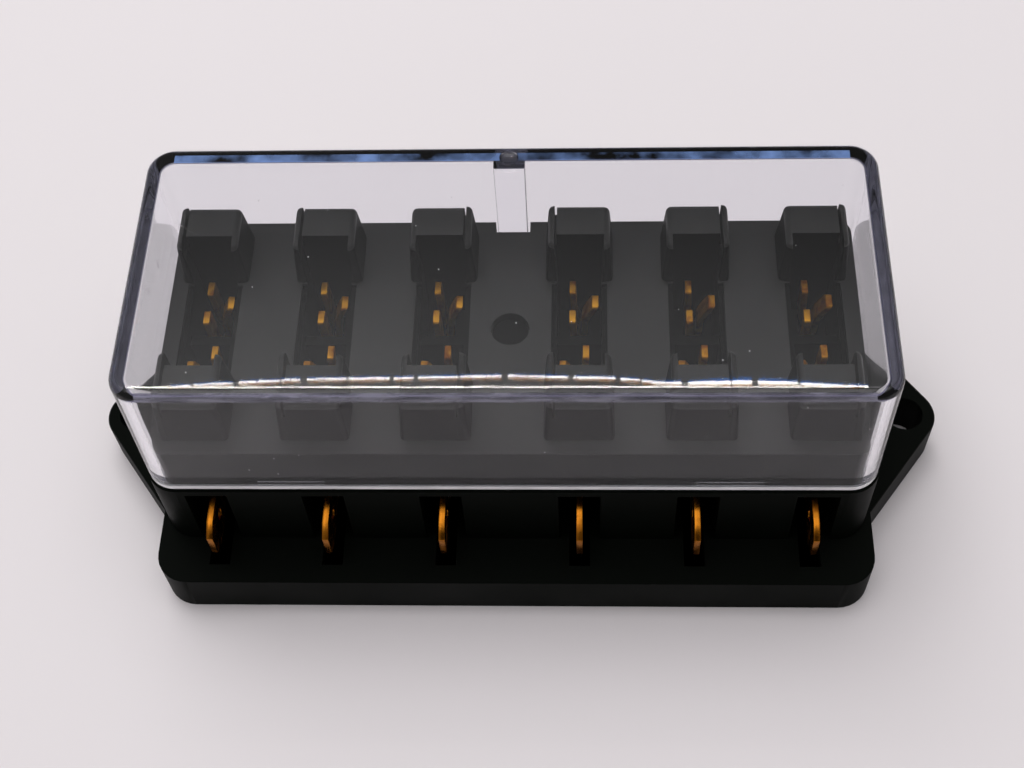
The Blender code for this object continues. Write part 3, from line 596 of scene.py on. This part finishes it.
def housing_mesh(settings):
    """The moulding's surface in two finishes, welded and with its rounded edges shaded smooth."""
    shape = bmesh.new()
    shape.from_mesh(frame["nodes"]["base_housing"].data)
    bmesh.ops.remove_doubles(shape, verts=shape.verts, dist=0.0005 * MM)
    for face in shape.faces:
        # Upward faces under the cover get the lighter black, a painted sheen.
        upper = face.calc_center_median().z > settings.plate - 0.05 * MM
        face.material_index = UNDER_COVER if upper and face.normal.z > 0.2 else OUTSIDE
    mesh = mesh_of(shape, "housing")
    # Outside the mould is spark-eroded: its grain scatters the sheen, so faces look even and nearly black.
    mesh.materials.append(black_nylon("black_nylon_eroded_mould", settings, settings.colour,
                                      settings.outer_gloss, 0.01 * MM))
    # Under the cover the mould is polished, and its upward faces are also painted a lighter black as sheen: flat
    # tops mirror the light a little, upright faces stay dark.
    mesh.materials.append(black_nylon("black_nylon_polished_mould_painted_sheen", settings, settings.inner_colour_painted_sheen,
                                      settings.inner_gloss, 0.002 * MM))
    smooth(mesh, 30)
    # Faces square to the axes stay flat, so that only the rounds are shaded round.
    for face in mesh.polygons:
        face.use_smooth = max(abs(part) for part in face.normal) < 0.9995
    holder = place_object("housing", mesh)
    holder.modifiers.new("flat faces stay flat", "WEIGHTED_NORMAL").keep_sharp = True
    shaded = evaluated_mesh(holder)
    bpy.data.objects.remove(holder)
    return shaded


class FUSEBOX_OT_base(bpy.types.Operator):
    """Makes the black base, eroded outside and polished under the cover"""
    bl_idname = "fusebox.base"
    bl_label = "Black base"

    def execute(self, context):
        housing = housing_mesh(context.scene.fusebox_base)
        new_piece("housing", housing, "base", "black_moulding", "base_housing")
        return {"FINISHED"}


def stamping(outlines, sheet, edge):
    """A flat stamping in (y, z) with softened edges, its middle plane on x = 0; later outlines are holes."""
    curve = bpy.data.curves.new("stamping", "CURVE")
    curve.dimensions = "2D"
    curve.fill_mode = "BOTH"
    curve.extrude = sheet / 2
    for outline in outlines:
        spline = curve.splines.new("POLY")
        spline.points.add(len(outline) - 1)
        for point, place in zip(spline.points, outline):
            point.co = (place[0], place[1], 0.0, 1.0)
        spline.use_cyclic_u = True
    holder = place_object("stamping", curve)
    flat = evaluated_mesh(holder)
    bpy.data.objects.remove(holder)
    shape = bmesh.new()
    shape.from_mesh(flat)
    bmesh.ops.remove_doubles(shape, verts=shape.verts, dist=0.01 * MM)
    flat = mesh_of(shape, "stamping")
    # The curve lies in (x, y), and the stamping stands in (y, z).
    flat.transform(Matrix(((0, 0, 1, 0), (1, 0, 0, 0), (0, 1, 0, 0), (0, 0, 0, 1))))
    holder = place_object("stamping", flat)
    bevel = holder.modifiers.new("softened edges", "BEVEL")
    bevel.width = edge
    bevel.segments = 2
    bevel.limit_method = "ANGLE"
    bevel.angle_limit = math.radians(40)
    mesh = evaluated_mesh(holder)
    bpy.data.objects.remove(holder)
    return mesh


def terminal_outline(settings):
    """The blank's outline in (y, z), tab towards -y with a tapered tip, and the round hole in the tab."""
    taper_length, taper_height = 1.9 * MM, 1.2 * MM
    low, high, tip = settings.tab_bottom, settings.tab_bottom + settings.tab_width, settings.tab_tip
    inner = settings.blade_spacing / 2 - settings.head_width / 2
    outer = settings.blade_spacing / 2 + settings.head_width / 2
    slit, root, corner, top = settings.slit, settings.root, 0.2 * MM, settings.head_top
    finger = (settings.head_width - 2 * slit) / 3
    outline = [(-inner, low), (-tip + taper_length, low), (-tip, low + taper_height),
               (-tip, high - taper_height), (-tip + taper_length, high), (-outer, high)]
    for number in range(3):
        start = -outer + number * (finger + slit)
        stop = start + finger
        if number:
            outline.append((start, root))
        outline += [(start, top - corner), (start + corner, top), (stop - corner, top), (stop, top - corner)]
        if number < 2:
            outline.append((stop, root))
    hole = circle(-tip + settings.hole_from_tip, (low + high) / 2, settings.hole / 2, 20)
    return outline[::-1], hole


def finger_offset(settings, height, flare):
    """How far a finger stands off the sheet's plane at a height: it closes on the blade and then flares."""
    root, grip_bottom, grip_top = settings.root, settings.grip_bottom, settings.grip_top
    grip = (settings.blade + settings.sheet) / 2
    if height <= root:
        return 0.0
    if height < grip_bottom:
        share = (height - root) / (grip_bottom - root)
        return grip * share * share * (3 - 2 * share)
    if height <= grip_top:
        return grip
    share = (height - grip_top) / (settings.head_top - grip_top)
    return grip + (flare - grip) * share ** 1.4


def terminal_mesh(settings):
    """Stamps the blank, scores it across at the bends and forms its fingers left and right in turn."""
    mesh = stamping(terminal_outline(settings), settings.sheet, settings.edge)
    shape = bmesh.new()
    shape.from_mesh(mesh)
    steps = settings.bends
    closing, flaring = settings.grip_bottom - settings.root, settings.head_top - settings.grip_top
    levels = [settings.root + closing * step / steps for step in range(steps + 1)]
    levels += [settings.grip_top + flaring * step / steps for step in range(steps)]
    for level in levels:
        everything = shape.verts[:] + shape.edges[:] + shape.faces[:]
        bmesh.ops.bisect_plane(shape, geom=everything, dist=0.001 * MM, plane_co=(0, 0, level),
                               plane_no=(0, 0, 1))
    slit = settings.slit
    pitch = (settings.head_width - 2 * slit) / 3 + slit
    outer = settings.blade_spacing / 2 + settings.head_width / 2
    for vert in shape.verts:
        middle = min(2, int((vert.co.y + outer + slit / 2) / pitch)) == 1
        flare = settings.middle_flare if middle else settings.outer_flare
        vert.co.x += (-1 if middle else 1) * finger_offset(settings, vert.co.z, flare)
    mesh = mesh_of(shape, "terminal")
    smooth(mesh, 35)
    return mesh


def way_centres(settings):
    """The ways' places in x, with a wider step in the middle."""
    near = [settings.middle_pitch / 2 + step * settings.way_pitch for step in range(3)]
    return [-x for x in reversed(near)] + near


class FUSEBOX_OT_terminals(bpy.types.Operator):
    """Makes the twelve brass terminals, the back ones turned half round"""
    bl_idname = "fusebox.terminals"
    bl_label = "Brass terminals"

    def execute(self, context):
        settings = context.scene.fusebox_terminals
        finish = stamped_brass(settings)
        blank = terminal_mesh(settings)
        blank.materials.append(finish)
        for side, turn in (("front", 0.0), ("back", math.pi)):
            for way, x in enumerate(way_centres(settings), start=1):
                mesh = blank.copy()
                mesh.transform(Matrix.Translation((x, 0, 0)) @ Matrix.Rotation(turn, 4, "Z"))
                node = f"terminal_{side}_{way}"
                new_piece("brass_" + node, mesh, "base", "stamped_brass", node)
        return {"FINISHED"}


def studio_floor(settings):
    """Matt white paper under the box."""
    material, tree = new_material("matt_paper")
    shader = add(tree, "BsdfPrincipled", None, {"Base Color": four(settings.floor), "Roughness": 0.9,
                                                "Specular IOR Level": 0.0})
    add(tree, "OutputMaterial", None, {"Surface": shader.outputs[0]})
    mesh = bpy.data.meshes.new("paper_floor")
    # A cut-out hidden under the box lets the terminal slots show the black world below: painted shade standing
    # for the shaded floor under the base.
    reach, half_x, half_y = 3.0, 45 * MM, 22.5 * MM
    outer = [(-reach, -reach, 0), (reach, -reach, 0), (reach, reach, 0), (-reach, reach, 0)]
    inner = [(-half_x, -half_y, 0), (half_x, -half_y, 0), (half_x, half_y, 0), (-half_x, half_y, 0)]
    mesh.from_pydata(outer + inner, [], [(0, 1, 5, 4), (1, 2, 6, 5), (2, 3, 7, 6), (3, 0, 4, 7)])
    mesh.materials.append(material)
    floor = place_object("paper_floor", mesh)
    # The paper lies a hair lower, so that its face and the box's underside don't coincide.
    floor.location.z = -0.02 * MM


def light_tent(settings):
    """A white tent, bright overhead and dim lower down, with a dark opening in front for the camera."""
    world = bpy.data.worlds.get("light_tent") or bpy.data.worlds.new("light_tent")
    bpy.context.scene.world = world
    world.use_nodes = True
    tree = world.node_tree
    tree.nodes.clear()
    direction = add(tree, "TexCoord").outputs["Generated"]
    part = add(tree, "SeparateXYZ", None, {"Vector": direction})
    # The tent's walls brighten towards the roof and towards the left, and the roof is brightest.
    walls = add(tree, "MapRange", {"interpolation_type": "SMOOTHSTEP"}, {
        "Value": part.outputs["Z"], "From Min": 0.76, "From Max": 0.86, "To Min": 0.26, "To Max": 0.75})
    roof = add(tree, "MapRange", {"interpolation_type": "SMOOTHSTEP"}, {
        "Value": part.outputs["Z"], "From Min": 0.855, "From Max": 0.93, "To Min": 0.0, "To Max": 2.0})
    left = add(tree, "MapRange", {"interpolation_type": "SMOOTHSTEP"}, {
        "Value": part.outputs["X"], "From Min": -0.26, "From Max": 0.02, "To Min": 1.35, "To Max": 0.85})
    sides = add(tree, "Math", {"operation": "MULTIPLY"}, {0: walls.outputs[0], 1: left.outputs[0]})
    tent = add(tree, "Math", {"operation": "ADD"}, {0: sides.outputs[0], 1: roof.outputs[0]})
    facing = add(tree, "VectorMath", {"operation": "DOT_PRODUCT"}, {0: direction, 1: (0.047, -0.538, 0.842)})
    opening = add(tree, "MapRange", {"interpolation_type": "SMOOTHSTEP"}, {
        "Value": facing.outputs["Value"], "From Min": 0.88, "From Max": 0.97, "To Min": 1.0, "To Max": 0.15})
    strength = add(tree, "Math", {"operation": "MULTIPLY"}, {0: tent.outputs[0], 1: settings.light})
    strength = add(tree, "Math", {"operation": "MULTIPLY"}, {0: strength.outputs[0], 1: opening.outputs[0]})
    # The camera itself sees an even pale grey behind the floor, and nothing lights the box from below; the black
    # below the horizon is the painted shade that the terminal slots show.
    seen = add(tree, "LightPath").outputs["Is Camera Ray"]
    shown = add(tree, "Mix", {"data_type": "FLOAT"}, {0: seen, 2: strength.outputs[0], 3: 0.8})
    above = add(tree, "Math", {"operation": "GREATER_THAN"}, {0: part.outputs["Z"], 1: -0.05})
    shown = add(tree, "Math", {"operation": "MULTIPLY"}, {0: shown.outputs[0], 1: above.outputs[0]})
    background = add(tree, "Background", None,
                     {"Color": four(linear("#FFFDFE")), "Strength": shown.outputs[0]})
    add(tree, "OutputWorld", None, {"Surface": background.outputs[0]})


def bow_at(plan, x):
    """The y of a line in plan at x, straight between its points."""
    for (one, low), (two, high) in zip(plan, plan[1:]):
        if one <= x <= two:
            return low + (high - low) * (x - one) / (two - one)
    raise ValueError("x lies beyond the line")


def strip_lamp(settings):
    """A bowed row of small lamps and one thin tube, mirrored by the cover as a broken and a plain line."""
    rows = []
    # The far edge of the row is bluish and its near edge orange, as thick plastic splits their light.
    for colour, code, share, near, far in (("white", "#FFFAF0", 1.0, -0.0005, 0.0005),
                                           ("blue", "#3F8DF0", 0.12, 0.0005, 0.0017),
                                           ("orange", "#F0A030", 0.12, -0.0015, -0.0005)):
        material, tree = new_material("lamp_glow_" + colour)
        glow = add(tree, "Emission", None, {"Color": four(linear(code)), "Strength": settings.strip * share})
        add(tree, "OutputMaterial", None, {"Surface": glow.outputs[0]})
        rows.append((material, near, far))
    shape = bmesh.new()
    height = 0.642

    def lamp(row, x, length, low, high):
        left, right = x - length / 2, x + length / 2
        corners = [(left, low), (left, high), (right, high), (right, low)]
        face = shape.faces.new([shape.verts.new((*corner, height)) for corner in corners])
        face.material_index = row

    # The row's line in plan, from left to right: it bows, steps down and ends against the plain tube.
    plan = ((-0.23, 0.3540), (-0.211, 0.3558), (-0.154, 0.3594), (-0.097, 0.3602), (-0.037, 0.3616),
            (0.02, 0.3602), (0.042, 0.3587), (0.048, 0.3570), (0.069, 0.3566), (0.1, 0.3572),
            (0.126, 0.3566), (0.143, 0.3552), (0.177, 0.3537))
    # Each lamp is laid as short pieces, so that it follows the bow.
    pieces = 4
    x, row_end = -0.228, 0.16
    widest_at, widening = 0.1, 0.03
    number = 0
    while x < row_end:
        # Lamps of 11 to 27 mm with gaps of 0.8 to 4 mm, in no plain order
        length = 0.011 + 0.016 * math.sin(number * 2.1) ** 2
        gap = 0.0008 + 0.0032 * math.sin(number * 1.3 + 0.6) ** 2
        for piece in range(pieces):
            middle = x + length * (piece + 0.5) / pieces
            bow = bow_at(plan, middle)
            wide = 1.0 + math.exp(-((middle - widest_at) / widening) ** 2)
            for row, (material, near, far) in enumerate(rows):
                lamp(row, middle, length / pieces, bow + near * wide, bow + far * wide)
        x += length + gap
        number += 1
    # The plain tube lies just in front of the row.
    lamp(0, -0.045, 0.42, 0.3537, 0.3545)
    mesh = mesh_of(shape, "strip_lamp")
    for material, near, far in rows:
        mesh.materials.append(material)
    place_object("strip_lamp", mesh)


def studio_camera(settings):
    """The camera, looking down on the box from in front."""
    pitch, yaw, roll = settings.pitch, settings.yaw, settings.roll
    forward = Vector((math.sin(yaw) * math.cos(pitch), math.cos(yaw) * math.cos(pitch), -math.sin(pitch)))
    right = Vector((math.cos(yaw), -math.sin(yaw), 0))
    down = forward.cross(right)
    across = math.cos(roll) * right + math.sin(roll) * down
    below = math.cos(roll) * down - math.sin(roll) * right
    camera = bpy.data.cameras.new("camera")
    camera.lens = settings.lens / MM
    camera.sensor_width = 36
    camera.clip_start = 0.005
    made = place_object("camera", camera)
    turned = Matrix((across, -below, -forward)).transposed().to_4x4()
    turned.translation = settings.place
    made.matrix_world = turned
    bpy.context.scene.camera = made


def softbox(name, place, aim, size, power):
    """A soft lamp that points at a spot and doesn't show in gloss."""
    lamp = bpy.data.lights.new(name, "AREA")
    lamp.shape = "RECTANGLE"
    lamp.size, lamp.size_y = size
    lamp.energy = power
    made = place_object(name, lamp)
    made.location = place
    made.rotation_euler = (Vector(aim) - Vector(place)).to_track_quat("-Z", "Y").to_euler()
    made.visible_glossy = False
    made.visible_transmission = False


class FUSEBOX_OT_studio(bpy.types.Operator):
    """Makes the floor, the light tent, the softbox and the camera"""
    bl_idname = "fusebox.studio"
    bl_label = "Studio"

    def execute(self, context):
        settings = context.scene.fusebox_studio
        bpy.context.scene.view_settings.view_transform = "Standard"
        studio_floor(settings)
        light_tent(settings)
        strip_lamp(settings)
        softbox("soft_lamp", settings.lamp_place, (0, 0, 0), (0.4, 0.4), settings.lamp)
        studio_camera(settings)
        return {"FINISHED"}


class FUSEBOX_PT_panel(bpy.types.Panel):
    """Lists the steps that make the fuse box"""
    bl_label = "Fuse box"
    bl_idname = "FUSEBOX_PT_panel"
    bl_space_type = "VIEW_3D"
    bl_region_type = "UI"
    bl_category = "Fuse box"

    def draw(self, context):
        for step in STEPS:
            self.layout.operator(step.bl_idname)


SETTINGS = (
    ("fusebox_cover", CoverSettings),
    ("fusebox_terminals", TerminalSettings),
    ("fusebox_base", BaseSettings),
    ("fusebox_studio", StudioSettings),
)
STEPS = (FUSEBOX_OT_base, FUSEBOX_OT_cover, FUSEBOX_OT_terminals, FUSEBOX_OT_studio)


def register():
    for name, group in SETTINGS:
        bpy.utils.register_class(group)
        setattr(bpy.types.Scene, name, PointerProperty(type=group))
    for kind in (*STEPS, FUSEBOX_PT_panel):
        bpy.utils.register_class(kind)


def unregister():
    for kind in reversed((*STEPS, FUSEBOX_PT_panel)):
        bpy.utils.unregister_class(kind)
    for name, group in reversed(SETTINGS):
        delattr(bpy.types.Scene, name)
        bpy.utils.unregister_class(group)


def main():
    register()
    bpy.ops.fusebox.base()
    bpy.ops.fusebox.cover()
    bpy.ops.fusebox.terminals()
    bpy.ops.fusebox.studio()


if __name__ == "__main__":
    main()
